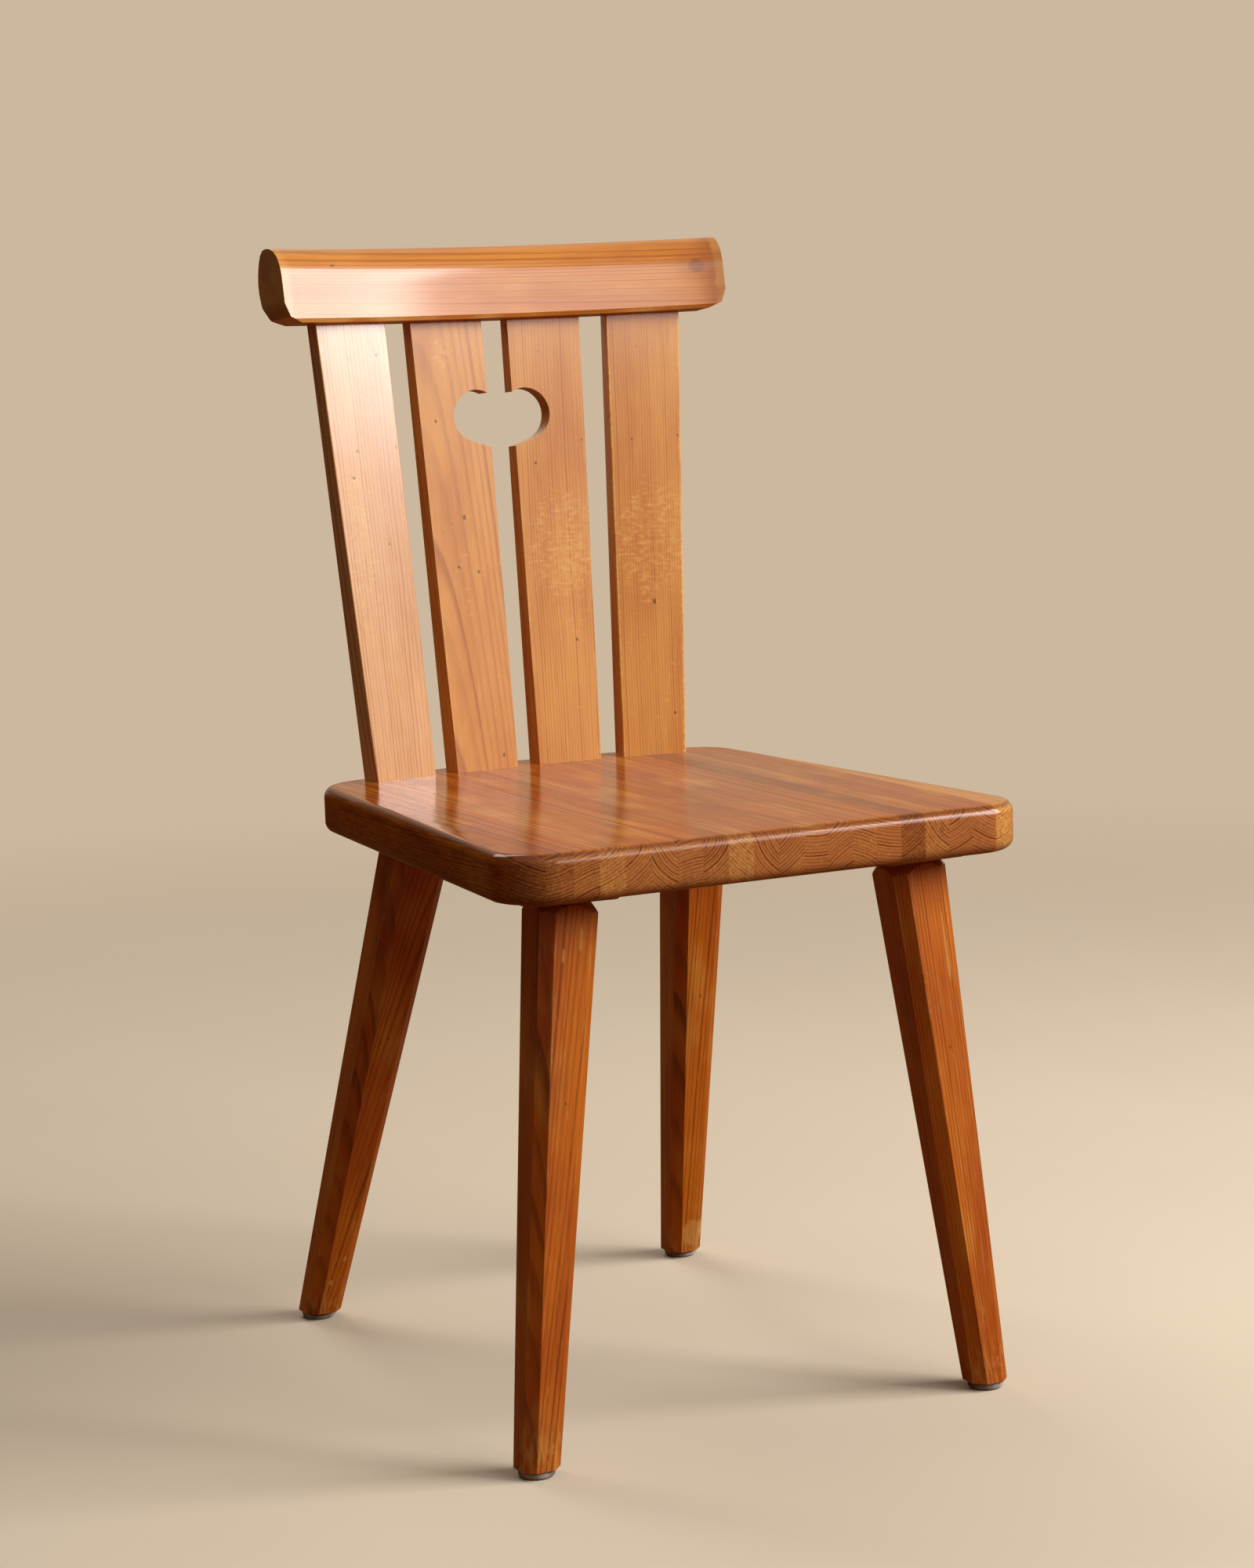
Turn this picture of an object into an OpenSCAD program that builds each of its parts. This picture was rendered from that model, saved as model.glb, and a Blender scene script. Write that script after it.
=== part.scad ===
// Heart-back pine chair.
// A plank seat glued up from narrow staves, four splayed chamfered legs set in two
// cleats under the seat, four fanned slats with a heart cut through the middle pair,
// and a bowed crest rail. Millimetres, +Z up, the front of the chair faces -Y,
// the floor is Z = 0.

/* [Seat] */
// height of the seat top above the floor
seat_h = 440; // [400:1:480]
// width of the seat across its front corners
seat_front_w = 410; // [360:1:500]
// width of the seat across its back corners
seat_back_w = 354; // [300:1:440]
// depth of the seat along its middle
seat_d = 438; // [380:1:480]
// thickness of the seat
seat_t = 35; // [28:1:45]
// radius of the two front corners in plan
seat_front_r = 40; // [15:1:60]
// radius of the two back corners in plan
seat_back_r = 38; // [12:1:48]
// radius of the bowed back edge of the seat
seat_bow_r = 560; // [450:10:1200]
// roundover along the top and bottom edges of the seat
seat_edge_r = 8; // [4:0.5:12]
// width of one glued stave
stave_w = 19.8; // [15:0.1:23]

/* [Back] */
// distance of the slats' front faces ahead of the seat's back edge, at the seat top
back_y = 39; // [26:1:61]
// lean of the back away from upright, degrees
back_lean = 6.1; // [2:0.1:12]
// radius of the bow shared by the slats and the rail
back_bow_r = 800; // [600:10:1400]
// free height of the slats between seat and rail, along the slat
slat_free = 350; // [300:1:400]
// width of a slat at the seat
slat_foot_w = 53; // [44:1:58]
// width of a slat at the rail
slat_head_w = 62; // [52:1:66]
// thickness of a slat at the seat
slat_foot_t = 20; // [16:0.5:24]
// thickness of a slat at the rail
slat_head_t = 13; // [10:0.5:16]
// centre spacing of the slats at the seat
slat_foot_pitch = 72; // [64:1:78]
// centre spacing of the slats at the rail
slat_head_pitch = 84; // [76:1:90]
// depth of the slat tenons in the seat
slat_foot_tenon = 24; // [15:1:27]
// depth of the slat tenons in the rail
slat_head_tenon = 24; // [15:1:35]

/* [Heart] */
// radius of the two lobes of the heart
heart_r = 20.3; // [14:0.1:24]
// distance of a lobe centre from the middle of the back
heart_lobe_x = 21; // [14:0.5:24]
// distance of the lobe centres below the rail, along the slat
heart_down = 74.5; // [50:0.5:230]
// drop from the lobe centres to the point of the heart
heart_drop = 28; // [24:0.5:50]

/* [Crest rail] */
// thickness of the rail front to back
rail_t = 41; // [36:1:55]
// height of the rail
rail_hgt = 58; // [45:1:75]
// half the length of the rail, measured across the chair
rail_half = 190; // [160:1:230]
// distance of the rail's lower front edge ahead of the slats' front faces
rail_ahead = 14; // [8:0.5:18]
// angle of the sawn rail ends, turned from straight ahead
rail_end_a = 6; // [0:1:14]

/* [Legs] */
// width across the flats of a leg at the shoulder
leg_top_w = 45.2; // [36:0.2:52]
// width across the flats of a leg at the foot
leg_foot_w = 29.6; // [24:0.2:40]
// leg chamfer, measured along each flat
leg_chamfer = 8; // [4:0.5:10]
// front leg under the seat, distance in from the front corner to the middle
front_top_x = 65; // [45:1:90]
// front leg under the seat, distance behind the front edge
front_top_y = 65; // [47:1:97]
// front foot, splay to the side of the leg's top
front_foot_x = 45; // [10:1:80]
// front foot, splay ahead of the leg's top
front_foot_y = 25; // [0:1:48]
// rear leg under the seat, distance in from the back corner to the middle
rear_top_x = 57; // [37:1:82]
// rear leg under the seat, distance ahead of the back edge
rear_top_y = 86; // [76:1:121]
// rear foot, splay to the side of the leg's top
rear_foot_x = 45; // [20:1:80]
// rear foot, splay behind the leg's top
rear_foot_y = 128; // [75:1:145]
// diameter of the round tenon on a leg
leg_tenon_d = 26; // [20:1:28]
// height of the tenon above the underside of the cleat
leg_tenon_up = 32; // [25:1:34]

/* [Cleats and glides] */
// width of a cleat
cleat_w = 76; // [60:1:90]
// thickness of a cleat
cleat_t = 7.5; // [6:0.5:16]
// bevel along the lower edges of a cleat
cleat_bevel = 3; // [1:0.5:5]
// length of a cleat ahead of the front leg's flat
cleat_ahead = 2; // [0:0.5:10]
// length of a cleat behind the rear leg's axis
cleat_behind = 45; // [30:1:60]
// diameter of a glide
glide_d = 26; // [18:1:28]
// height of a glide under the foot
glide_h = 6; // [3:0.5:8]
// length of the glide's nail
glide_nail = 18; // [10:1:25]

/* [Fits] */
// clearance round a slat tenon in its slot
slat_fit = 0.15; // [0.05:0.05:0.4]
// clearance round a leg tenon in its hole
leg_fit = 0.15; // [0.05:0.05:0.4]
// clearance round a glide's nail
nail_fit = 0.05; // [0.02:0.01:0.2]
// empty depth left at the end of a blind slot or hole
end_gap = 0.3; // [0.1:0.1:1]

/* [Hidden] */

// the seat is set so that the footprint is centred on the origin
seat_front = -247;
seat_back = seat_front + seat_d;
seat_under = seat_h - seat_t;
cleat_under = seat_under - cleat_t;
stave_n = 20;
stave_shift = -3;
big = 900;
fine = 64;

// ---- seat outline -------------------------------------------------------
// how far the back edge falls away at the back corners
seat_sag = seat_bow_r - sqrt(seat_bow_r * seat_bow_r - seat_back_w * seat_back_w / 4);
// corners of the plan, anticlockwise from the front left
seat_corner = [
    [-seat_front_w / 2, seat_front],
    [seat_front_w / 2, seat_front],
    [seat_back_w / 2, seat_back - seat_sag],
    [-seat_back_w / 2, seat_back - seat_sag]
];
side_a = atan2((seat_front_w - seat_back_w) / 2, seat_d - seat_sag);
bow_a = asin(seat_back_w / 2 / seat_bow_r);
bow_in = asin((seat_back_w / 2 - seat_back_r - 4) / seat_bow_r);

// centre of the arc in a corner whose two sides face the directions a and b
function corner_centre(p, a, b, r) =
    let (h = (b - a) / 2, m = (a + b) / 2)
    p - r / cos(h) * [cos(m), sin(m)];

// points of one rounded corner, drawn with the radius reduced by the inset
function corner(p, a, b, r, inset, n) =
    let (c = corner_centre(p, a, b, r))
    [for (i = [0 : n]) let (t = a + (b - a) * i / n) c + (r - inset) * [cos(t), sin(t)]];

// points of the bowed back edge between the back corners
function back_edge(inset, n) =
    [for (i = [1 : n - 1]) let (t = bow_in - 2 * bow_in * i / n)
        [(seat_bow_r - inset) * sin(t), seat_back - seat_bow_r + (seat_bow_r - inset) * cos(t)]];

function seat_ring(inset) = concat(
    corner(seat_corner[0], 180 + side_a, 270, seat_front_r, inset, 7),
    corner(seat_corner[1], 270, 360 - side_a, seat_front_r, inset, 7),
    corner(seat_corner[2], side_a, 90 - bow_a, seat_back_r, inset, 6),
    back_edge(inset, 12),
    corner(seat_corner[3], 90 + bow_a, 180 - side_a, seat_back_r, inset, 6)
);

// inset and height of each level of the rounded slab, from below upward
slab_steps = 4;
function slab_level(i) =
    let (t = 90 * i / slab_steps)
    [seat_edge_r * (1 - sin(t)), seat_edge_r * (1 - cos(t))];
slab_levels = concat(
    [for (i = [0 : slab_steps]) [slab_level(i)[0], seat_under + slab_level(i)[1]]],
    [for (i = [slab_steps : -1 : 0]) [slab_level(i)[0], seat_h - slab_level(i)[1]]]
);

// the whole seat before it is divided into staves
module seat_slab() {
    rings = [for (v = slab_levels) [for (p = seat_ring(v[0])) [p[0], p[1], v[1]]]];
    n = len(rings[0]);
    m = len(rings);
    points = [for (r = rings) for (p = r) p];
    walls = [for (k = [0 : m - 2]) for (i = [0 : n - 1])
        let (j = (i + 1) % n)
        [k * n + i, (k + 1) * n + i, (k + 1) * n + j, k * n + j]];
    low = [for (i = [0 : n - 1]) i];
    high = [for (i = [n - 1 : -1 : 0]) (m - 1) * n + i];
    polyhedron(points = points, faces = concat([low], [high], walls), convexity = 2);
}

// left side of stave k, counted from 1 at the left
function stave_x(k) =
    k <= 1 ? -big : k > stave_n ? big : stave_shift + (k - 1 - stave_n / 2) * stave_w;

module stave(k) {
    x0 = max(stave_x(k), -seat_front_w / 2 - 5);
    x1 = min(stave_x(k + 1), seat_front_w / 2 + 5);
    difference() {
        intersection() {
            seat_slab();
            translate([x0, -big / 2, seat_under - 5])
                cube([x1 - x0, big, seat_t + 10]);
        }
        for (i = [0 : 3])
            if (abs(slat_foot_x(i) - (x0 + x1) / 2) < slat_foot_w / 2 + (x1 - x0) / 2 + 6)
                slat_blank(i, slat_fit, slat_foot_tenon + end_gap, slat_free);
        for (s = [-1, 1]) {
            if (abs(leg_top(s, 0)[0] - (x0 + x1) / 2) < leg_tenon_d + (x1 - x0) / 2 + 6)
                leg_hole(s, 0);
            if (abs(leg_top(s, 1)[0] - (x0 + x1) / 2) < leg_tenon_d + (x1 - x0) / 2 + 6)
                leg_hole(s, 1);
        }
    }
}

// ---- back frame ---------------------------------------------------------
// leaning frame: X across, Y into the back, Z up along the slats from the seat top
module back_frame() {
    translate([0, seat_back - back_y, seat_h])
        rotate([-back_lean, 0, 0])
            children();
}

function slat_foot_x(i) = (i - 1.5) * slat_foot_pitch;
function slat_fan(i) = atan((i - 1.5) * (slat_head_pitch - slat_foot_pitch) / slat_free);

// frame of slat i: origin in the middle of its front face at the seat top
module slat_frame(i) {
    back_frame()
        translate([0, -back_bow_r, 0])
            rotate([0, 0, -asin(slat_foot_x(i) / back_bow_r)])
                translate([0, back_bow_r, 0])
                    rotate([0, slat_fan(i), 0])
                        children();
}

// slat board from the foot tenon's end to the height "up", grown by c all round
module slat_blank(i, c, down, up) {
    k = (slat_head_w - slat_foot_w) / slat_free;
    w0 = slat_foot_w / 2 - k * down / 2 + c;
    w1 = slat_foot_w / 2 + k * up / 2 + c;
    taper = atan((slat_foot_t - slat_head_t) / slat_free);
    slat_frame(i)
        difference() {
            translate([0, slat_foot_t + 3, 0])
                rotate([90, 0, 0])
                    linear_extrude(height = slat_foot_t + 3 + c)
                        polygon([[-w0, -down], [w0, -down], [w1, up], [-w1, up]]);
            translate([-60, slat_foot_t + c, 0])
                rotate([taper, 0, 0])
                    translate([0, 0, -60])
                        cube([120, 30, 560]);
        }
}

// outline of the heart in the leaning frame, lobes up
function heart_points() =
    let (
        heart_up = slat_free - heart_down,
        d = norm([heart_lobe_x, heart_drop]),
        t0 = atan2(-heart_drop, -heart_lobe_x) + 360 + acos(heart_r / d) - 360,
        t1 = 165,
        n = 24,
        right = [for (i = [0 : n]) let (t = t0 + (t1 - t0) * i / n)
            [heart_lobe_x + heart_r * cos(t), heart_up + heart_r * sin(t)]],
        left = [for (i = [n : -1 : 0]) [-right[i][0], right[i][1]]]
    )
    concat([[0, heart_up - heart_drop]], right, [[0, heart_up + 3]], left);

module heart_cut() {
    back_frame()
        translate([0, 60, 0])
            rotate([90, 0, 0])
                linear_extrude(height = 120)
                    polygon(heart_points());
}

module slat(i) {
    difference() {
        slat_blank(i, 0, slat_foot_tenon, slat_free + slat_head_tenon);
        if (i == 1 || i == 2) heart_cut();
    }
}

// ---- crest rail ---------------------------------------------------------
// section of the rail: X into the back from the lower front edge, Y up
rail_section = [
    [0.05, 0], [0, 0.05], [0.01, 0.12], [0.025, 0.24], [0.04, 0.36], [0.055, 0.50], [0.075, 0.64],
    [0.12, 0.76], [0.20, 0.86], [0.32, 0.94], [0.47, 0.985], [0.62, 1], [0.74, 0.985],
    [0.84, 0.93], [0.92, 0.82], [0.98, 0.68], [1, 0.56], [0.99, 0.44], [0.95, 0.32],
    [0.89, 0.20], [0.82, 0.10], [0.76, 0.04], [0.69, 0]
];

module crest_rail() {
    sweep = asin((rail_half + 40) / back_bow_r);
    difference() {
        back_frame()
            difference() {
                translate([0, -back_bow_r, 0])
                    rotate([0, 0, 90 - sweep])
                        rotate_extrude(angle = 2 * sweep, $fn = 128)
                            polygon([for (p = rail_section)
                                [back_bow_r - rail_ahead + p[0] * rail_t, slat_free + p[1] * rail_hgt]]);
                for (s = [-1, 1]) {
                    rail_end(s) cube([200, 400, 400], center = true);
                    rail_end(s)
                        translate([-100, 0, -rail_hgt / 2])
                            rotate([0, 45, 0])
                                cube([10, 400, 10], center = true);
                }
            }
        for (i = [0 : 3])
            slat_blank(i, slat_fit, 0, slat_free + slat_head_tenon + end_gap);
    }
}

// frame of one sawn end: X outward, the end plane at X = -100
module rail_end(s) {
    translate([s * rail_half, -rail_half * rail_half / 2 / back_bow_r, slat_free + rail_hgt / 2])
        rotate([0, 0, s > 0 ? -rail_end_a : 180 + rail_end_a])
            translate([100, 0, 0])
                children();
}

// ---- legs ---------------------------------------------------------------
function leg_top(s, r) = r == 0
    ? [s * (seat_front_w / 2 - front_top_x), seat_front + front_top_y, cleat_under]
    : [s * (seat_back_w / 2 - rear_top_x), seat_back - rear_top_y, cleat_under];
function leg_foot(s, r) = r == 0
    ? [leg_top(s, 0)[0] + s * front_foot_x, leg_top(s, 0)[1] - front_foot_y, 0]
    : [leg_top(s, 1)[0] + s * rear_foot_x, leg_top(s, 1)[1] + rear_foot_y, 0];
function leg_len(s, r) = norm(leg_top(s, r) - leg_foot(s, r));

// frame of a leg: Z up along its axis from the floor, its flats square to the chair
module leg_frame(s, r) {
    d = leg_top(s, r) - leg_foot(s, r);
    around = atan2(d[1], d[0]);
    translate(leg_foot(s, r))
        rotate([0, 0, around])
            rotate([0, atan2(norm([d[0], d[1]]), d[2]), 0])
                rotate([0, 0, -around])
                    children();
}

function octagon(w, z) =
    let (h = w / 2, c = h - leg_chamfer)
    [[h, -c, z], [h, c, z], [c, h, z], [-c, h, z], [-h, c, z], [-h, -c, z], [-c, -h, z], [c, -h, z]];

// tapered leg with chamfered corners, long past both ends
module leg_taper(len) {
    k = (leg_top_w - leg_foot_w) / len;
    z0 = -20;
    z1 = len + 20;
    points = concat(octagon(leg_foot_w + k * z0, z0), octagon(leg_foot_w + k * z1, z1));
    polyhedron(
        points = points,
        faces = concat(
            [[0, 1, 2, 3, 4, 5, 6, 7]],
            [[15, 14, 13, 12, 11, 10, 9, 8]],
            [for (i = [0 : 7]) let (j = (i + 1) % 8) [i, i + 8, j + 8, j]]
        )
    );
}

module leg(s, r) {
    len = leg_len(s, r);
    neck = leg_tenon_d / 2 + 7;
    difference() {
        union() {
            intersection() {
                leg_frame(s, r)
                    intersection() {
                        leg_taper(len);
                        translate([0, 0, len - 70])
                            cylinder(h = 78, r1 = neck + 70 / 1.28, r2 = neck - 8 / 1.28, $fn = fine);
                    }
                translate([-big / 2, -big / 2, cleat_under - 200])
                    cube([big, big, 200]);
            }
            intersection() {
                leg_frame(s, r) leg_taper(len);
                translate([-big / 2, -big / 2, glide_h])
                    cube([big, big, cleat_under - 60 - glide_h]);
            }
            leg_frame(s, r)
                translate([0, 0, len - 12])
                    cylinder(h = leg_tenon_up / cos(leg_tilt(s, r)) + 12, d = leg_tenon_d, $fn = fine);
        }
        glide_axis(s, r)
            cylinder(h = glide_nail + glide_h + end_gap, d = 2.4 + 2 * nail_fit, $fn = 24);
    }
}

function leg_tilt(s, r) =
    let (d = leg_top(s, r) - leg_foot(s, r))
    atan2(norm([d[0], d[1]]), d[2]);

module leg_hole(s, r) {
    leg_frame(s, r)
        translate([0, 0, leg_len(s, r) - 20])
            cylinder(
                h = 20 + leg_tenon_up / cos(leg_tilt(s, r)) + end_gap,
                d = leg_tenon_d + 2 * leg_fit,
                $fn = fine
            );
}

// ---- cleats -------------------------------------------------------------
module cleat(s) {
    p = leg_top(1, 0);
    q = leg_top(1, 1);
    lean = atan2(p[0] - q[0], q[1] - p[1]);
    front = -leg_top_w / 2 - cleat_ahead;
    len = (q[1] - p[1] + cleat_behind - front) / cos(lean);
    h = cleat_w / 2;
    b = cleat_bevel;
    difference() {
        translate([s * p[0], p[1], 0])
            rotate([0, 0, s * lean])
                translate([0, front, 0])
                    intersection() {
                        translate([0, len, cleat_under])
                            rotate([90, 0, 0])
                                linear_extrude(height = len)
                                    polygon([[-h, b], [-h + b, 0], [h - b, 0], [h, b], [h, cleat_t], [-h, cleat_t]]);
                        translate([0, 0, cleat_under - 1])
                            linear_extrude(height = cleat_t + 2)
                                polygon([
                                    [-h - 1, 2 * b], [-h + 2 * b, -1], [h - 2 * b, -1], [h + 1, 2 * b],
                                    [h + 1, len - 2 * b], [h - 2 * b, len + 1],
                                    [-h + 2 * b, len + 1], [-h - 1, len - 2 * b]
                                ]);
                    }
        leg_hole(s, 0);
        leg_hole(s, 1);
    }
}

// ---- glides -------------------------------------------------------------
// upright frame of a glide, on the floor under the middle of the foot
module glide_axis(s, r) {
    d = (leg_top(s, r) - leg_foot(s, r)) * glide_h / 2 / cleat_under;
    translate([leg_foot(s, r)[0] + d[0], leg_foot(s, r)[1] + d[1], 0])
        children();
}

module glide(s, r) {
    glide_axis(s, r) {
        rotate_extrude($fn = fine)
            polygon([
                [0, 0], [glide_d / 2 - 2.5, 0], [glide_d / 2 - 0.8, 0.8], [glide_d / 2, 2.4],
                [glide_d / 2, glide_h], [1.2, glide_h], [1.2, glide_h + glide_nail - 3],
                [0, glide_h + glide_nail]
            ]);
    }
}

// ---- output -------------------------------------------------------------
module pine_light() { color([0.80, 0.50, 0.24]) children(); }
module pine_dark() { color([0.70, 0.40, 0.18]) children(); }
module glide_grey() { color([0.78, 0.77, 0.74]) children(); }

pine_light() stave(1);  // stave_01
pine_light() stave(2);  // stave_02
pine_dark() stave(3);  // stave_03
pine_light() stave(4);  // stave_04
pine_light() stave(5);  // stave_05
pine_dark() stave(6);  // stave_06
pine_light() stave(7);  // stave_07
pine_light() stave(8);  // stave_08
pine_dark() stave(9);  // stave_09
pine_light() stave(10);  // stave_10
pine_light() stave(11);  // stave_11
pine_dark() stave(12);  // stave_12
pine_light() stave(13);  // stave_13
pine_light() stave(14);  // stave_14
pine_dark() stave(15);  // stave_15
pine_light() stave(16);  // stave_16
pine_light() stave(17);  // stave_17
pine_dark() stave(18);  // stave_18
pine_light() stave(19);  // stave_19
pine_light() stave(20);  // stave_20
pine_dark() cleat(-1);  // cleat_left
pine_dark() cleat(1);  // cleat_right
pine_dark() leg(-1, 0);  // leg_front_left
pine_dark() leg(1, 0);  // leg_front_right
pine_dark() leg(-1, 1);  // leg_rear_left
pine_dark() leg(1, 1);  // leg_rear_right
glide_grey() glide(-1, 0);  // glide_front_left
glide_grey() glide(1, 0);  // glide_front_right
glide_grey() glide(-1, 1);  // glide_rear_left
glide_grey() glide(1, 1);  // glide_rear_right
pine_light() slat(0);  // slat_1
pine_light() slat(1);  // slat_2
pine_light() slat(2);  // slat_3
pine_light() slat(3);  // slat_4
pine_dark() crest_rail();
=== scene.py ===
# %% [markdown]
# # A heart-back pine chair
# A farmhouse kind of chair: a plank seat glued up from narrow pine staves, four splayed
# legs with chamfered corners, four fanned slats with a heart sawn through the middle
# pair, and a bowed crest rail. Everything is under an old amber varnish.
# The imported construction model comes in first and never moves. Each piece made here
# takes the place of the solids that it names, in the same metres and the same frame.

# %% Loading the frame
import math

import bmesh
import bpy
from mathutils import Matrix, Vector


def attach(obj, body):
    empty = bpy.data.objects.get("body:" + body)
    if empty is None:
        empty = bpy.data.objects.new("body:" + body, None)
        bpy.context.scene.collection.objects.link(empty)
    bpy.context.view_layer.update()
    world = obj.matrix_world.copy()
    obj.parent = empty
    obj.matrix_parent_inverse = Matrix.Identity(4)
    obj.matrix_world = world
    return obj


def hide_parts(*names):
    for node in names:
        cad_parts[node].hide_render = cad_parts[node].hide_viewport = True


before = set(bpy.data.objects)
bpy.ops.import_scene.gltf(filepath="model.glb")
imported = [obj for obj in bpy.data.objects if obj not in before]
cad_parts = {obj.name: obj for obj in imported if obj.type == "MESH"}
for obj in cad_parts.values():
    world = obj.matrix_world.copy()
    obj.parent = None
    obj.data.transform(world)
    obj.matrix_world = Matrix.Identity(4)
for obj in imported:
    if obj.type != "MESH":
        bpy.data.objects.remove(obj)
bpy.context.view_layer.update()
scene = bpy.context.scene

# %% [markdown]
# ## Sizes
# The sizes are the maker's own, in millimetres, and are turned into metres where they
# are used. Keeping them together lets the boards made here meet the same lines as the
# solids that they stand for.

# %% Sizes
MM = 0.001
SEAT = dict(top=440, thick=35, front=-247, deep=438, front_w=410, back_w=354,
            front_r=40, back_r=38, bow=560, edge=8, stave=19.8, shift=-3, staves=20)
BACK = dict(y=152, lean=math.radians(6.1), bow=800, free=350)
SLAT = dict(foot_w=53, head_w=62, foot_t=20, head_t=13, foot_pitch=72, head_pitch=84,
            foot_tenon=24, head_tenon=24)
HEART = dict(r=20.3, x=21, up=275.5, drop=28, stop=165, dip=3)
RAIL = dict(thick=41, high=58, half=190, ahead=14, end=math.radians(6))
LEG = dict(top_w=45.2, foot_w=29.6, under=397.5, long=402, chamfer=8,
           shoulder_r=20, shoulder_fall=1.28)
FEET = {"front": ((185, -207), (140, -182)), "rear": ((165, 233), (120, 105))}
CLEAT = dict(half=38, ahead=2, behind=45, chamfer=3, corner=6)
GLIDE = dict(d=26, high=6, nail=18)
SIDES = {"left": -1, "right": 1}
print("seat", SEAT["front_w"], "x", SEAT["deep"], "mm, top at", SEAT["top"])

# %% [markdown]
# ## The camera
# The view is a little above the seat, from the front left. The camera's three axes are
# written as numbers, so the chair stands in the frame with the slight lean it has there.

# %% Camera
CAMERA_AT = Vector((-1218.5, -2383.5, 833.4)) * MM
CAMERA_RIGHT = Vector((0.88694, -0.46101, -0.02880))
CAMERA_UP = Vector((0.09192, 0.11503, 0.98910))
CAMERA_BACK = CAMERA_RIGHT.cross(CAMERA_UP)

camera = bpy.data.objects.new("camera", bpy.data.cameras.new("camera"))
camera.data.sensor_width = 36
camera.data.lens = 82.95
turn = Matrix((CAMERA_RIGHT, CAMERA_UP, CAMERA_BACK)).transposed().to_4x4()
camera.matrix_world = Matrix.Translation(CAMERA_AT) @ turn
scene.collection.objects.link(camera)
scene.camera = camera
scene.view_settings.view_transform = "Standard"
print("camera", [round(v, 3) for v in CAMERA_AT], "lens", camera.data.lens)

# %% [markdown]
# ## Writing shaders as sums
# A wood shader is mostly arithmetic on positions. A small class wraps a node's output,
# so a line such as `1 - mask * 0.3` adds the Math nodes by itself. Numbers that are
# known beforehand are worked out in Python and never become nodes.

# %% A wire that can be added and multiplied
class Wire:
    """One output of a shader node, with the usual operators."""

    def __init__(self, bench, socket):
        self.bench = bench
        self.socket = socket

    def math(self, operation, *others):
        return self.bench.node("ShaderNodeMath", {"operation": operation}, [self, *others])

    def __add__(self, other):
        return self.math("ADD", other)

    def __sub__(self, other):
        return self.math("SUBTRACT", other)

    def __mul__(self, other):
        return self.math("MULTIPLY", other)

    def __truediv__(self, other):
        return self.math("DIVIDE", other)

    def __pow__(self, other):
        return self.math("POWER", other)

    def __rsub__(self, other):
        return self.bench.node("ShaderNodeMath", {"operation": "SUBTRACT"}, [other, self])

    __radd__ = __add__
    __rmul__ = __mul__


print("wires ready")


# %% The bench on which one material's nodes are laid out
class Bench:
    """Builds the nodes of one material."""

    def __init__(self, name):
        self.material = bpy.data.materials.new(name)
        self.material.use_nodes = True
        self.tree = self.material.node_tree
        self.tree.nodes.clear()

    def plug(self, socket, value):
        if isinstance(value, Wire):
            self.tree.links.new(value.socket, socket)
        elif value is not None:
            socket.default_value = value

    def node(self, kind, settings=None, values=(), out=0):
        """A node of any kind: its settings first, then its sockets by place or name."""
        made = self.tree.nodes.new(kind)
        for key, value in (settings or {}).items():
            setattr(made, key, value)
        pairs = values.items() if isinstance(values, dict) else enumerate(values)
        for key, value in pairs:
            self.plug(made.inputs[key], value)
        return Wire(self, made.outputs[out])

    def mix(self, factor, a, b):
        """Colour a where the factor is 0 and colour b where it is 1."""
        a, b = [c if isinstance(c, Wire) else (*c, 1) for c in (a, b)]
        return self.node("ShaderNodeMix", {"data_type": "RGBA"}, {0: factor, 6: a, 7: b}, out=2)

    def step(self, value, low, high, to_low=0.0, to_high=1.0):
        """Rises smoothly from to_low to to_high as the value goes from low to high."""
        return self.node("ShaderNodeMapRange", {"interpolation_type": "SMOOTHSTEP"},
                         [value, low, high, to_low, to_high])

    def xyz(self, vector):
        parts = self.node("ShaderNodeSeparateXYZ", None, [vector])
        return [Wire(self, socket) for socket in parts.socket.node.outputs]

    def vector(self, x, y, z):
        return self.node("ShaderNodeCombineXYZ", None, [x, y, z])

    def stretch(self, vector, scale):
        return self.node("ShaderNodeVectorMath", {"operation": "MULTIPLY"}, [vector, scale])

    def noise(self, vector, scale=1.0, detail=2.0, rough=0.5):
        return self.node("ShaderNodeTexNoise", None,
                         {"Vector": vector, "Scale": scale, "Detail": detail, "Roughness": rough})

    def bump(self, height, strength, distance, below=None):
        return self.node("ShaderNodeBump", None, {"Height": height, "Strength": strength,
                                                  "Distance": distance, "Normal": below})

    def attribute(self, name, out=1):
        return self.node("ShaderNodeAttribute", {"attribute_name": name}, [], out=out)

    def finish(self, **sockets):
        """Joins everything to one Principled shader and returns the material."""
        shader = self.tree.nodes.new("ShaderNodeBsdfPrincipled")
        for key, value in sockets.items():
            self.plug(shader.inputs[key.replace("_", " ")], value)
        output = self.tree.nodes.new("ShaderNodeOutputMaterial")
        self.tree.links.new(shader.outputs[0], output.inputs[0])
        return self.material


print("shader bench ready")

# %% [markdown]
# ## Jigs
# In a workshop a jig makes the same piece again and again at other sizes. Here a jig is
# a Geometry Nodes tree with named inputs. An object runs it once, the result becomes a
# plain mesh, and the modifier goes, so nothing is left to be worked out later.

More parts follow.
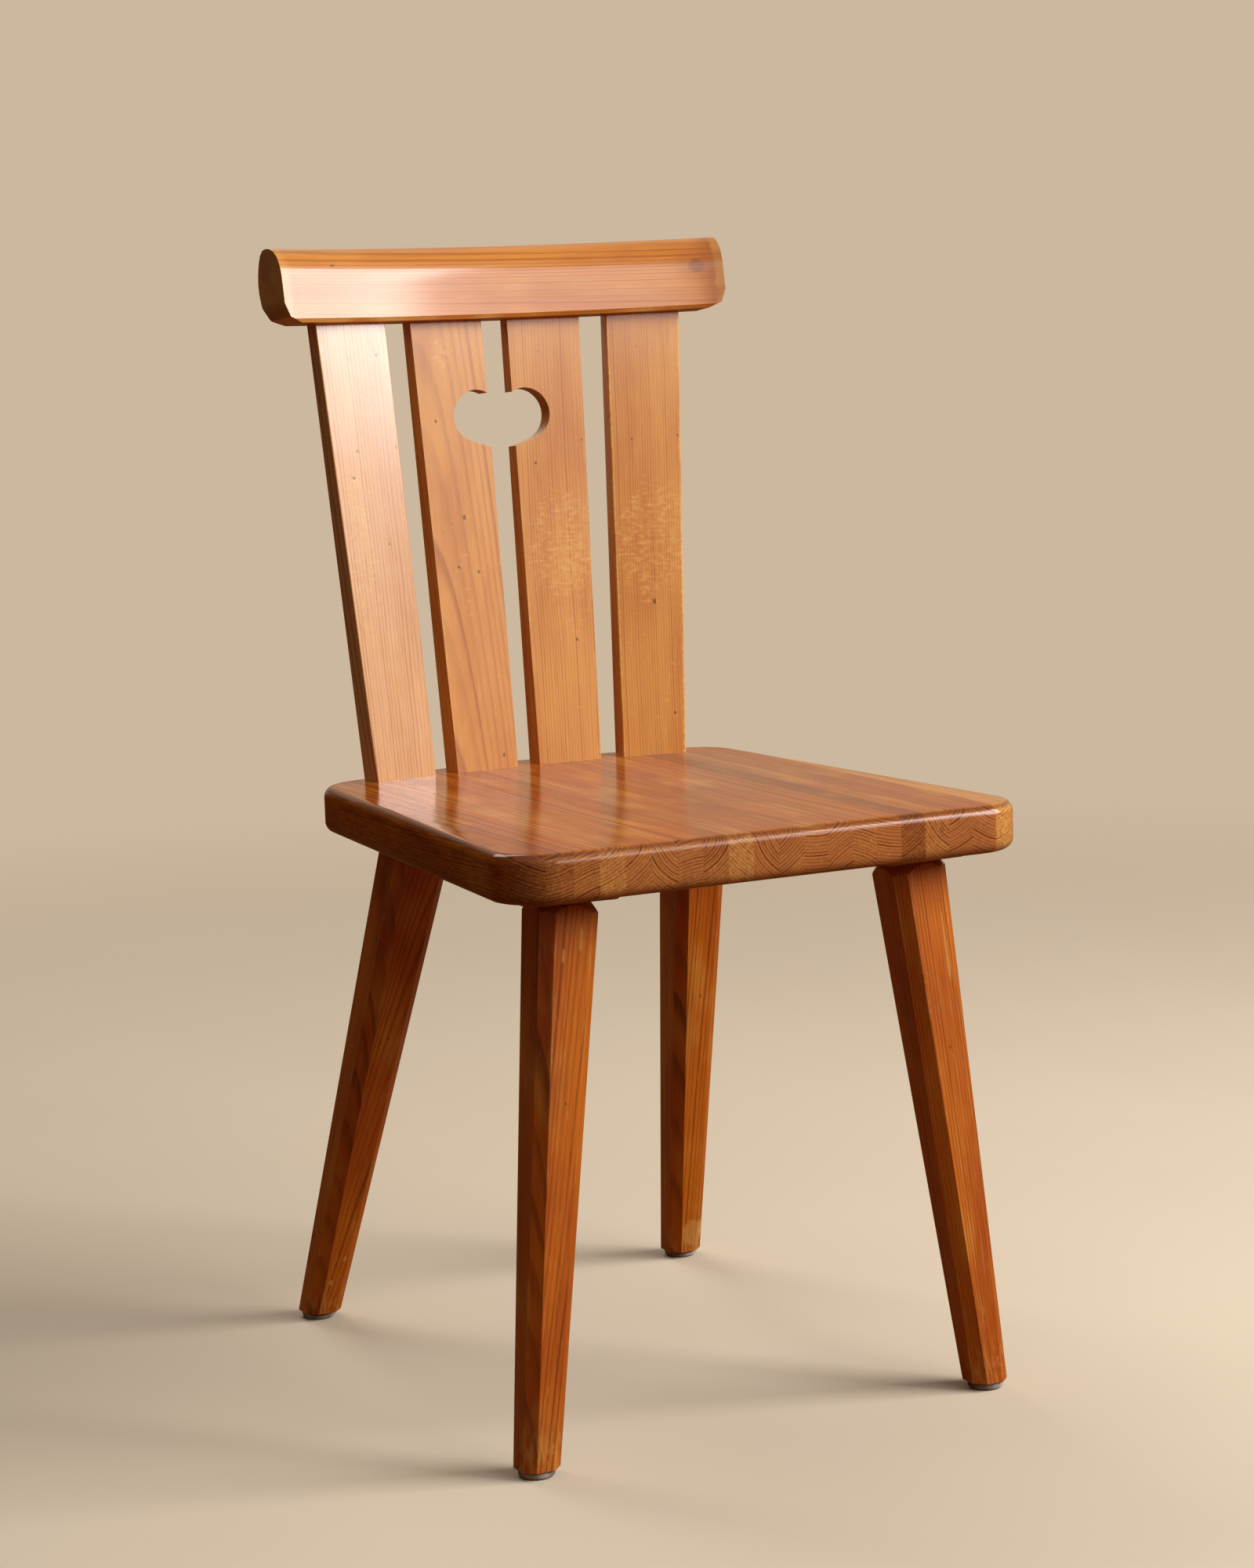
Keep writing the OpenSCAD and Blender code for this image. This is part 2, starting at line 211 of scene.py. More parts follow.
# %% A jig is a Geometry Nodes tree
class Jig(Bench):
    """A Geometry Nodes tree with named inputs, built with the bench's own methods."""

    def __init__(self, name):
        self.tree = bpy.data.node_groups.new(name, "GeometryNodeTree")
        self.entry = self.tree.nodes.new("NodeGroupInput")
        self.tree.interface.new_socket("Geometry", in_out="OUTPUT",
                                       socket_type="NodeSocketGeometry")

    def size(self, name, kind="Float"):
        self.tree.interface.new_socket(name, in_out="INPUT", socket_type="NodeSocket" + kind)
        return Wire(self, self.entry.outputs[name])

    def shape(self, name):
        """The shape of an object that is handed in."""
        return self.node("GeometryNodeObjectInfo", None, [self.size(name, "Object")], out=4)

    def moved(self, geometry, move=None, turn=None):
        return self.node("GeometryNodeTransform", None,
                         {"Geometry": geometry, "Translation": move, "Rotation": turn})

    def end(self, geometry):
        whole = self.node("GeometryNodeRealizeInstances", None, [geometry])
        painted = self.node("GeometryNodeSetMaterial", None,
                            {"Geometry": whole, "Material": self.size("Finish", "Material")})
        leave = self.tree.nodes.new("NodeGroupOutput")
        self.tree.links.new(painted.socket, leave.inputs[0])

    def run(self, name, **sizes):
        """Makes one plain mesh object with the given sizes."""
        piece = linked(name, bpy.data.meshes.new(name))
        modifier = piece.modifiers.new("jig", "NODES")
        modifier.node_group = self.tree
        items = self.tree.interface.items_tree
        for label, value in sizes.items():
            modifier[items[label.replace("_", " ")].identifier] = value
        settle(piece)
        return piece


def linked(name, mesh):
    """An object for the mesh, in the scene and at the origin."""
    piece = bpy.data.objects.new(name, mesh)
    scene.collection.objects.link(piece)
    return piece


def settle(piece):
    """Works out the modifiers once and keeps the result as a plain mesh."""
    bpy.context.view_layer.update()
    seen = piece.evaluated_get(bpy.context.evaluated_depsgraph_get())
    mesh = bpy.data.meshes.new_from_object(seen)
    piece.modifiers.clear()
    piece.data = mesh


def remove(*helpers):
    for helper in helpers:
        bpy.data.objects.remove(helper)


def corners(piece):
    """The piece's lowest and highest corners, rounded for printing."""
    return [[round(v, 3) for v in piece.bound_box[i]] for i in (0, 6)]


print("jigs ready")

# %% [markdown]
# ## Sawing and easing
# Flat-sided wooden pieces are a block from which planes take corners away. Each cut
# keeps the side behind its plane and closes the face that the saw leaves. Real arrises
# are never sharp, so each piece then gets a small rounding with a Bevel modifier.

# %% Sawing a block and easing its edges
def block(lo, hi):
    made = bmesh.new()
    bmesh.ops.create_cube(made, size=1)
    lo, hi = Vector(lo), Vector(hi)
    for corner in made.verts:
        corner.co = lo + Vector((corner.co[i] + 0.5) * (hi - lo)[i] for i in range(3))
    return made


def saw(solid, point, normal):
    """Takes away what stands in front of the plane and closes the cut."""
    cut = bmesh.ops.bisect_plane(
        solid, geom=[*solid.verts, *solid.edges, *solid.faces], dist=1e-7,
        plane_co=point, plane_no=normal, clear_outer=True)["geom_cut"]
    rim = [part for part in cut if isinstance(part, bmesh.types.BMEdge)]
    if rim:
        bmesh.ops.contextual_create(solid, geom=rim)


def piece_from(solid, name):
    bmesh.ops.recalc_face_normals(solid, faces=solid.faces)
    mesh = bpy.data.meshes.new(name)
    solid.to_mesh(mesh)
    solid.free()
    return linked(name, mesh)


def eased(piece, radius, angle=25, segments=3):
    """Rounds the edges that are sharper than the angle and shades the rest smooth."""
    piece.data.shade_smooth()
    bevel = piece.modifiers.new("eased edges", "BEVEL")
    bevel.width = radius * MM
    bevel.segments = segments
    bevel.limit_method = "ANGLE"
    bevel.angle_limit = math.radians(angle)
    level = piece.modifiers.new("flat faces stay flat", "WEIGHTED_NORMAL")
    level.weight = 100
    level.keep_sharp = True
    settle(piece)


def keep_grain(piece, to_plank, pith=(0, 60), tilt=(0, 0), tone=0.0, shift=0.0):
    """Stores where each point lies in the plank, and where it lay in the trunk.

    to_plank turns a point into (across, through, along). The pith is a line in the plank,
    given by where it passes and by how far it leans as it runs along.
    """
    place, grain = [], []
    for vertex in piece.data.vertices:
        a, t, l = to_plank(vertex.co)
        place.extend((a, t, l))
        grain.extend((a - pith[0] * MM - tilt[0] * l, t - pith[1] * MM - tilt[1] * l,
                      l + shift))
    for name, values in (("place", place), ("grain", grain)):
        layer = piece.data.attributes.new(name, "FLOAT_VECTOR", "POINT")
        layer.data.foreach_set("vector", values)
    layer = piece.data.attributes.new("tone", "FLOAT", "POINT")
    layer.data.foreach_set("value", [tone] * len(piece.data.vertices))


def mark_ends(piece, fibre):
    """Stores how squarely each face cuts the fibres: 0 on a side, 1 on a sawn end."""
    layer = piece.data.attributes.new("end", "FLOAT", "FACE")
    layer.data.foreach_set("value", [abs(face.normal.dot(fibre)) for face in piece.data.polygons])


print("saw ready")

# %% [markdown]
# ## Pine under amber varnish
# Pine is read in three layers. Year rings are cylinders about the pith, so a plank cut
# through them shows lines on its long sides and arcs on its ends. Fine fibres run with
# the plank. Over both lies a glossy varnish that has gone amber and has worn in places.
# The rings are measured from `grain`, a position that travels with each plank, so the
# figure goes right through the wood and meets at every edge.

# %% Colours
def paint(red, green, blue):
    """A colour picked on a 0 to 255 scale, as the shader wants it."""
    def linear(level):
        level /= 255
        return level / 12.92 if level <= 0.04045 else ((level + 0.055) / 1.055) ** 2.4
    return linear(red), linear(green), linear(blue)


HONEY = paint(224, 151, 68)
HONEY_DARK = paint(207, 127, 48)
# the colour of late wood in the rings; at the rail's right end it is also painted shade
LATEWOOD_AND_SHADE = paint(150, 70, 18)
AMBER = paint(238, 166, 70)
RUBBED = paint(240, 184, 98)
END_BROWN = paint(180, 118, 72)
# a dark brown for dirt in dents and the middle of knots; on the seat it is also painted shade
GRIME_AND_SHADE = paint(58, 24, 8)
print("honey, as the shader wants it:", [round(v, 3) for v in HONEY])


# %% Rings, fibres and the varnished surface
def pine(name, light=HONEY, dark=HONEY_DARK, line=LATEWOOD_AND_SHADE, spacing=2.2, figure=0.75,
         bend=1.0, coat=1.0, coat_rough=0.14, shine=0.3, dull=0.48, end_dark=0.45,
         marks=None):
    bench = Bench(name)
    grain = bench.attribute("grain")
    place = bench.attribute("place")
    end = bench.step(bench.attribute("end", out=2), 0.3, 0.8)
    across, through, along = bench.xyz(grain)

    # the trunk was never quite straight, so the rings wander along the plank
    drift = bench.noise(bench.stretch(grain, (8, 8, 4)), detail=1) - 0.5
    ripple = bench.noise(bench.stretch(grain, (50, 50, 16)), detail=2) - 0.5
    across = across + drift * (bend * 9 * MM) + ripple * (bend * 1.2 * MM)
    through = through + drift * (bend * 6 * MM)
    ring = ((across * across + through * through) ** 0.5) / (spacing * MM)
    ring = ring + bench.noise(bench.vector(ring * 0.35, 0.0, 0.0), 1.0, 1) * 1.6

    # late wood is the dark end of each year, stronger in some years than in others
    turn = ring.math("FRACT")
    chance = bench.node("ShaderNodeTexWhiteNoise", {"noise_dimensions": "1D"},
                        {"W": ring.math("FLOOR")})
    late = bench.step(turn, 0.40, 0.84) * (1 - bench.step(turn, 0.88, 1.0))
    late = late * bench.step(chance, 0.0, 1.0, 0.35, 1.0)

    # the colour goes on from wide patches to single fibres
    patch = bench.noise(bench.stretch(grain, (30, 30, 6)), detail=3)
    fibre = bench.noise(bench.stretch(grain, (800, 800, 20)), detail=2, rough=0.7)
    streak = bench.noise(bench.stretch(grain, (330, 330, 9)), detail=3)

    colour = bench.mix(bench.step(patch, 0.35, 0.7), light, dark)
    amber = bench.step(bench.noise(bench.stretch(grain, (22, 22, 11)), detail=4), 0.5, 0.72)
    colour = bench.mix(amber * 0.4, colour, AMBER)
    colour = bench.mix(end * end_dark, colour, END_BROWN)
    colour = bench.mix(late * (figure * (0.8 + 0.35 * end)), colour, line)
    shade = (fibre - 0.5) * 0.6 + (streak - 0.5) * 0.45 + bench.attribute("tone", out=2)
    colour = bench.mix(bench.step(shade, 0.0, 0.5) * 0.7, colour, RUBBED)
    colour = bench.mix(bench.step(shade, -0.5, 0.0, 1.0, 0.0) * 0.8, colour, line)

    # the varnish has sunk a little over fibres and late wood, and is wavy as a whole
    relief = fibre * 0.5 + late * 0.5 + streak * 0.3
    gloss = coat
    if marks:
        colour, relief, gloss = marks(bench, place, colour, relief, gloss)
    rough = bench.step(fibre, 0.2, 0.8, dull - 0.08, dull + 0.08)
    grainy = bench.bump(relief, 0.3, 0.2 * MM)
    wavy = bench.bump(bench.noise(place, 45, 2), 0.35, 0.6 * MM, grainy)
    return bench.finish(Base_Color=colour, Roughness=rough, Coat_Weight=gloss,
                        Coat_Roughness=coat_rough, Coat_IOR=1.5, Specular_IOR_Level=shine,
                        Normal=wavy)


print("pine recipe ready")

# %% [markdown]
# ## Signs of use
# The chair has been sat on for decades. Backs have rubbed the slats pale, arrises have
# lost their stain, and small dents hold dirt. Each sign is a mask between 0 and 1 in
# the plank's own directions, made of a distance and a little noise, so that its border
# is never clean. A mask then lightens or darkens the colour and takes the gloss away.

# %% Masks for wear
# Some marks paint shade instead of use: a dark line on the seat's top roundover, the seat's edge
# darker towards its underside, and the rail's darker right end.
def spot(bench, u, v, at, size, ragged=0.5):
    """A soft-edged oval at a place in mm, with half-axes in mm and a ragged border."""
    du = (u - at[0] * MM) * (1 / size[0] / MM)
    dv = (v - at[1] * MM) * (1 / size[1] / MM)
    noise = bench.noise(bench.vector(u, v, 0.1 * at[0]), 900 / max(size), 2) - 0.5
    return 1 - bench.step((du * du + dv * dv) ** 0.5 + noise * ragged, 0.55, 1.0)


def flecks(bench, vector, stretch, share):
    """Small scattered marks: the share of the cells that have one, from 0 to 1."""
    cells = bench.node("ShaderNodeTexVoronoi", None,
                       {"Vector": bench.stretch(vector, stretch), "Scale": 1.0})
    parts = cells.socket.node.outputs
    distance, chance = [Wire(bench, parts[name]) for name in ("Distance", "Color")]
    lucky = 1 - bench.step(bench.xyz(chance)[0], share, share + 0.02)
    ragged = bench.noise(bench.stretch(vector, [s * 3 for s in stretch]), detail=1) - 0.5
    return lucky * (1 - bench.step(distance + ragged * 0.25, 0.04, 0.15))


def rub(bench, distance, vector, reach, runs=0.5):
    """Pale wear that starts at an arris: distance is how far the arris is, in metres."""
    ragged = bench.noise(vector, 260, 3)
    long = bench.noise(bench.stretch(vector, (30, 30, 16)), detail=2)
    edge = 1 - bench.step(distance + (ragged - 0.5) * (reach * 1.6 * MM), 0.0, reach * MM)
    return edge * bench.step(long, 1 - runs - 0.12, 1 - runs + 0.12)


def knot(bench, u, v, at, radius, colour, spacing=1.6):
    """Rings round a branch, dark in the middle."""
    du, dv = (u - at[0] * MM) * 0.8, v - at[1] * MM
    away = (du * du + dv * dv) ** 0.5
    away = away + (bench.noise(bench.vector(u, v, 0.0), 160, 2) - 0.5) * (0.3 * radius * MM)
    rings = ((away * (1 / (spacing * MM))).math("FRACT") - 0.5).math("ABSOLUTE") * 2
    inside = 1 - bench.step(away, 0.5 * radius * MM, radius * MM)
    colour = bench.mix(inside * (0.35 + 0.3 * rings), colour, GRIME_AND_SHADE)
    halo = 1 - bench.step(away, radius * MM, 2.6 * radius * MM)
    return bench.mix(halo * 0.25, colour, LATEWOOD_AND_SHADE)


print("wear masks ready")

# %% [markdown]
# ## The seat staves
# The seat is a thick board glued up from twenty narrow staves whose fibres run from
# front to back. The board's outline is drawn first, with round corners, a bowed back
# edge and a roundover. A jig then cuts one stave out of it between two glue lines. Each
# stave has a pith of its own, so that every end shows different rings.

# %% The board before it is divided
def arc_points(corner, start, stop, radius, inset, steps):
    """Rounds a corner between two directions, on a circle shrunk by the inset."""
    half, middle = (stop - start) / 2, (start + stop) / 2
    outward = Vector((math.cos(middle), math.sin(middle)))
    centre = Vector(corner) - radius / math.cos(half) * outward
    return [centre + (radius - inset) * Vector((math.cos(a), math.sin(a)))
            for a in (start + (stop - start) * i / steps for i in range(steps + 1))]


def seat_ring(inset):
    """The outline of the seat, drawn inward by the inset, anticlockwise."""
    s = SEAT
    back = s["front"] + s["deep"]
    half_f, half_b = s["front_w"] / 2, s["back_w"] / 2
    sag = s["bow"] - math.sqrt(s["bow"] ** 2 - half_b ** 2)
    side = math.atan2(half_f - half_b, s["deep"] - sag)
    bow = math.asin(half_b / s["bow"])
    bow_in = math.asin((half_b - s["back_r"] - 4) / s["bow"])
    right, up, left, down = 0, math.pi / 2, math.pi, math.pi * 1.5
    edge = [Vector(((s["bow"] - inset) * math.sin(t),
                    back - s["bow"] + (s["bow"] - inset) * math.cos(t)))
            for t in (bow_in - 2 * bow_in * i / 30 for i in range(1, 30))]
    return (arc_points((-half_f, s["front"]), left + side, down, s["front_r"], inset, 14)
            + arc_points((half_f, s["front"]), down, 2 * math.pi - side, s["front_r"], inset, 14)
            + arc_points((half_b, back - sag), right + side, up - bow, s["back_r"], inset, 12)
            + edge
            + arc_points((-half_b, back - sag), up + bow, left - side, s["back_r"], inset, 12))


def seat_board():
    made = bmesh.new()
    turns = [math.radians(90 * i / 8) for i in range(9)]
    low = [(SEAT["edge"] * (1 - math.sin(t)), SEAT["edge"] * (1 - math.cos(t))) for t in turns]
    levels = ([(inset, SEAT["top"] - SEAT["thick"] + up) for inset, up in low]
              + [(inset, SEAT["top"] - up) for inset, up in reversed(low)])
    rings = [[made.verts.new((p.x * MM, p.y * MM, z * MM)) for p in seat_ring(inset)]
             for inset, z in levels]
    for below, above in zip(rings, rings[1:]):
        for i in range(len(below)):
            j = (i + 1) % len(below)
            made.faces.new((below[i], below[j], above[j], above[i]))
    made.faces.new(reversed(rings[0]))
    made.faces.new(rings[-1])
    return piece_from(made, "seat_board")


board = seat_board()
print("seat board:", len(board.data.vertices), "points")


# %% The jig that cuts one stave
def stave_jig():
    jig = Jig("stave jig")
    whole = jig.shape("Board")
    box = jig.node("GeometryNodeMeshCube", None, {"Size": jig.size("Cut size", "Vector")})
    box = jig.moved(box, jig.size("Cut centre", "Vector"))
    cut = jig.node("GeometryNodeMeshBoolean", {"operation": "INTERSECT", "solver": "EXACT"})
    both = cut.socket.node.inputs["Mesh 2"]
    jig.tree.links.new(whole.socket, both)
    jig.tree.links.new(box.socket, both)
    jig.end(cut)
    return jig


cutter = stave_jig()
print("stave jig:", len(cutter.tree.nodes), "nodes")

# %% [markdown]
# ### Staves of different boards
# Every stave came from another board, so no two show the same rings or the same tone. A
# table gives each one the place of its pith from its own middle, to the right and upward
# in millimetres, and whether it is a paler or a darker one.

# %% Piths, tones and glue lines
STAVES = [
    (26, 60, -0.22), (-18, 70, -0.20), (20, -64, -0.15), (-34, 74, 0.12), (-40, 52, 0.04),
    (26, 24, 0.05), (14, -80, 0.04), (-24, 30, -0.12), (60, 70, 0.14), (30, 22, 0.0),
    (-50, 60, 0.0), (4, 95, 0.02), (38, -60, 0.0), (-30, -70, 0.04), (16, 80, -0.02),
    (-44, 66, -0.25), (30, 26, 0.06), (-22, 44, -0.02), (24, 48, 0.0), (-30, 90, 0.22),
]


def glue_line(k):
    """The left side of stave k, from the chair's middle."""
    return SEAT["shift"] + (k - SEAT["staves"] / 2) * SEAT["stave"]


print("glue lines from", glue_line(0), "to", glue_line(SEAT["staves"]), "mm")


# %% Wear, painted shade and finish of the seat
SEAT_DENTS = (((-195, 40), (5, 7)), ((-190, -28), (4, 8)), ((-120, 60), (7, 3)))


def seat_marks(bench, place, colour, relief, gloss):
    x, height, y = bench.xyz(place)
    high, under = SEAT["top"], SEAT["top"] - SEAT["thick"]
    top = bench.step(height, (high - 0.5) * MM, high * MM)
    # painted shade: a dark line along the seat's top roundover, a little below the top
    roundover_shade = (bench.step(height, (high - 3.6) * MM, (high - 1.8) * MM)
              * (1 - bench.step(height, (high - 1.0) * MM, (high - 0.2) * MM)))
    colour = bench.mix(roundover_shade * 0.45, colour, GRIME_AND_SHADE)
    dents = flecks(bench, place, (70, 20, 120), 0.22) * bench.step(y, -0.16, 0.15, 0.4, 1.0)
    colour = bench.mix(dents * 0.85, colour, GRIME_AND_SHADE)
    scuff = bench.step(bench.noise(bench.stretch(place, (16, 16, 10)), detail=4), 0.55, 0.75)
    colour = bench.mix(scuff * top * 0.12, colour, RUBBED)
    # painted shade: the seat's edge grows darker towards its underside
    edge = bench.step(height, under * MM, (under + 15) * MM, 0.25, 0.0)
    colour = bench.mix(edge, colour, GRIME_AND_SHADE)
    for at, size in SEAT_DENTS:
        colour = bench.mix(spot(bench, x, y, at, size) * top * 0.5, colour, GRIME_AND_SHADE)
    return colour, relief - dents * 1.2, gloss - scuff * 0.25


seat_pine = pine("seat pine", light=paint(192, 98, 16), dark=paint(172, 82, 12),
                 line=paint(88, 32, 6), spacing=2.3, bend=0.5, figure=0.85, end_dark=0.6,
                 coat=0.75, coat_rough=0.17, shine=0.0, marks=seat_marks)
print("seat finish:", len(seat_pine.node_tree.nodes), "nodes")


# %% Cutting the staves
# the cutting box is as wide as a stave, and longer and higher than the board, in metres
CUT_LONG, CUT_HIGH = 0.9, 0.2
# the board's half width and the height that the piths are measured from, in mm
BOARD_HALF, PITH_LEVEL = 200, SEAT["top"] - 17
for k, (pith_x, pith_z, tone) in enumerate(STAVES):
    left = -SEAT["front_w"] if k == 0 else glue_line(k)
    right = SEAT["front_w"] if k + 1 == SEAT["staves"] else glue_line(k + 1)
    middle = (max(left, -BOARD_HALF) + min(right, BOARD_HALF)) / 2
    stave = cutter.run(
        f"seat_stave_{k + 1:02d}", Board=board, Finish=seat_pine,
        Cut_size=((right - left) * MM, CUT_LONG, CUT_HIGH),
        Cut_centre=((left + right) / 2 * MM, 0, (SEAT["top"] - 20) * MM))
    stave.data.shade_smooth()
    stave.data.set_sharp_from_angle(angle=math.radians(30))
    keep_grain(stave, lambda p: (p.x, p.z, p.y), tone=tone, shift=0.37 * k,
               pith=(middle + pith_x, PITH_LEVEL + pith_z))
    mark_ends(stave, Vector((0, 1, 0)))
    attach(stave, "root")
    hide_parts(f"stave_{k + 1:02d}")
remove(board)
print("staves made:", len(STAVES))

# %% [markdown]
# ## The slats
# Four slats stand in the seat, fanned like fingers and bowed round the sitter. All four
# follow one rule: a board that widens and thins towards its head, tipped by the fan,
# turned about the middle of the bow and leaned back. So one jig makes them all.

# %% The slat jig
def slat_jig():
    jig = Jig("slat jig")
    foot_w, head_w = jig.size("Foot width"), jig.size("Head width")
    foot_t, head_t = jig.size("Foot thickness"), jig.size("Head thickness")
    low, high, free = jig.size("Below"), jig.size("Above"), jig.size("Free")
    cube = jig.node("GeometryNodeMeshCube", None, {"Size": (1, 1, 1)})
    x, y, z = jig.xyz(jig.node("GeometryNodeInputPosition"))
    height = (z + 0.5) * (low + high) - low
    share = height / free
    width = foot_w + (head_w - foot_w) * share
    thick = foot_t + (head_t - foot_t) * share
    shaped = jig.node("GeometryNodeSetPosition", None,
                      {"Geometry": cube,
                       "Position": jig.vector(x * width, (y + 0.5) * thick, height)})
    for move, turn in (("Out", "Fan"), ("In", "Turn"), ("Place", "Lean")):
        shaped = jig.moved(shaped, None, jig.size(turn, "Vector"))
        shaped = jig.moved(shaped, jig.size(move, "Vector"))
    jig.end(shaped)
    return jig


maker = slat_jig()
print("slat jig:", len(maker.tree.nodes), "nodes")


# %% Making the slats
def back_frame():
    """The leaning frame of the back: X across, Y into the back, Z up along the slats."""
    return (Matrix.Translation((0, BACK["y"] * MM, SEAT["top"] * MM))
            @ Matrix.Rotation(-BACK["lean"], 4, "X"))


def slat_turns(i):
    """The slat's fan and its turn round the bow."""
    foot_x = (i - 1.5) * SLAT["foot_pitch"]
    fan = math.atan((i - 1.5) * (SLAT["head_pitch"] - SLAT["foot_pitch"]) / BACK["free"])
    return fan, -math.asin(foot_x / BACK["bow"])


bow = BACK["bow"] * MM
slats = []
for i in range(4):
    fan, turn = slat_turns(i)
    slats.append(maker.run(
        f"back_slat_{i + 1}",
        Foot_width=SLAT["foot_w"] * MM, Head_width=SLAT["head_w"] * MM,
        Foot_thickness=SLAT["foot_t"] * MM, Head_thickness=SLAT["head_t"] * MM,
        Below=SLAT["foot_tenon"] * MM, Above=(BACK["free"] + SLAT["head_tenon"]) * MM,
        Free=BACK["free"] * MM, Fan=(0, fan, 0), Out=(0, bow, 0), Turn=(0, 0, turn),
        In=(0, -bow, 0), Lean=(-BACK["lean"], 0, 0),
        Place=(0, BACK["y"] * MM, SEAT["top"] * MM), Finish=None))
print("slats:", [[round(v, 3) for v in s.dimensions] for s in slats])

# %% [markdown]
# ## The heart
# A heart is sawn square through the two middle slats: two round lobes whose tangents
# meet in a point. It is a prism here, and a Boolean modifier takes it out of each slat.

# %% Sawing the heart
def heart_outline():
    r, x, up, drop = (HEART[key] for key in ("r", "x", "up", "drop"))
    start = math.atan2(-drop, -x) + math.acos(r / math.hypot(x, drop))
    stop = math.radians(HEART["stop"])
    right = [(x + r * math.cos(a), up + r * math.sin(a))
             for a in (start + (stop - start) * i / 40 for i in range(41))]
    left = [(-px, pz) for px, pz in reversed(right)]
    return [(0, up - drop), *right, (0, up + HEART["dip"]), *left]


def heart_prism(ahead=-0.05, behind=0.07):
    """The heart from ahead of the slats to behind them, in metres."""
    made = bmesh.new()
    front = [made.verts.new((x * MM, ahead, z * MM)) for x, z in heart_outline()]
    back = [made.verts.new((x * MM, behind, z * MM)) for x, z in heart_outline()]
    made.faces.new(front)
    made.faces.new(reversed(back))
    for i in range(len(front)):
        j = (i + 1) % len(front)
        made.faces.new((front[j], front[i], back[i], back[j]))
    bmesh.ops.transform(made, verts=made.verts, matrix=back_frame())
    return piece_from(made, "heart_prism")


prism = heart_prism()
for slat in slats[1:3]:
    taken = slat.modifiers.new("heart", "BOOLEAN")
    taken.operation = "DIFFERENCE"
    taken.solver = "EXACT"
    taken.object = prism
    settle(slat)
remove(prism)
print("faces after the heart:", [len(slat.data.polygons) for slat in slats])

# %% [markdown]
# ## Finishing the slats
# Each slat was sawn from its own plank. Its pith may lie far to one side, which gives
# straight close lines, or behind its face and leaning, which gives pointed arches. The
# backs of sitters have rubbed pale areas, and dark specks are old dents. Their places
# are on the slat's own front, across it and up from the seat, in millimetres.

# %% Slat woods and marks
SLAT_WOOD = [
    dict(pith=(70, 46), tilt=(0, 0.02), tone=0.03, shift=0.0),
    dict(pith=(-34, 60), tilt=(0.02, 0.05), tone=0.02, shift=0.9),
    dict(pith=(60, 26), tilt=(0, 0.03), tone=0.02, shift=1.7),
    dict(pith=(-70, 20), tilt=(0, 0.02), tone=0.0, shift=2.6),
]
SLAT_SPACING = (2.5, 3.6, 2.3, 2.1)
SLAT_SHINE = (0.9, 0.6, 0.5, 0.35)
SLAT_DULL = (0.34, 0.46, 0.46, 0.46)
# slat 1's paler, pinker pair is a painted sheen, for the window's broad gloss on it; the other
# three are plain honey
SLAT_COLOUR_AND_SHEEN = [(paint(232, 170, 108), paint(220, 152, 86))] + [(HONEY, HONEY_DARK)] * 3
# pale rubbed areas and dark specks: place on the slat, half-axes, all in mm
SLAT_RUBBED = [
    [((-16, 180), (16, 90), 0.8), ((10, 230), (30, 120), 0.4)],
    [((-8, 326), (14, 16), 0.9), ((0, 160), (24, 60), 0.3)],
    [((2, 175), (36, 60), 0.9), ((14, 130), (16, 60), 0.5)],
    [((2, 165), (40, 66), 1.0), ((0, 60), (34, 70), 0.3)],
]
SLAT_RUNS = (0.36, 0.38, 0.42, 0.58)
SLAT_SPECKS = [
    [(19, 325, 2.2), (-8, 253, 1.6), (-14, 233, 1.8), (10, 180, 1.3)],
    [(-17, 273, 2.0), (0, 197, 2.6), (-9, 159, 1.8), (8, 154, 1.8), (15, 10, 2.0)],
    [(-14, 236, 1.6), (12, 96, 1.8)],
    [(3, 121, 2.6), (-12, 250, 1.4), (18, 32, 1.6)],
]
print("specks:", [len(specks) for specks in SLAT_SPECKS])


# %% How the marks are laid on a slat
def slat_marks(rubbed, specks, runs):
    def marks(bench, place, colour, relief, gloss):
        x, y, z = bench.xyz(place)
        strokes = bench.noise(bench.stretch(place, (130, 130, 300)), detail=5, rough=0.75)
        spread = bench.noise(bench.stretch(place, (60, 60, 30)), detail=2) * 0.5 - 0.25
        front = bench.step(y, 2 * MM, 6 * MM, 1.0, 0.0)
        for at, size, strength in rubbed:
            spread = spread + spot(bench, x, z, at, size, 0.8) * front * strength
        worn = bench.step(strokes + spread * 0.14, 0.58, 0.78)
        colour = bench.mix(worn * 0.5, colour, RUBBED)
        side = (z * ((SLAT["head_w"] - SLAT["foot_w"]) / 2 / BACK["free"])
                + SLAT["foot_w"] / 2 * MM) - x.math("ABSOLUTE")
        edge = rub(bench, (side * side + y * y) ** 0.5, place, 2.6, runs)
        colour = bench.mix(edge * 0.8, colour, RUBBED)
        dents = flecks(bench, place, (150, 60, 90), 0.10)
        for px, pz, radius in specks:
            dents = dents + spot(bench, x, z, (px, pz), (radius * 0.7, radius), 1.2) * front
        dents = dents.math("MINIMUM", 1.0)
        colour = bench.mix(dents * 0.7, colour, GRIME_AND_SHADE)
        return colour, relief - dents * 1.5 - edge * 0.8, gloss - worn * 0.35 - edge * 0.5
    return marks


print("slat marks ready")


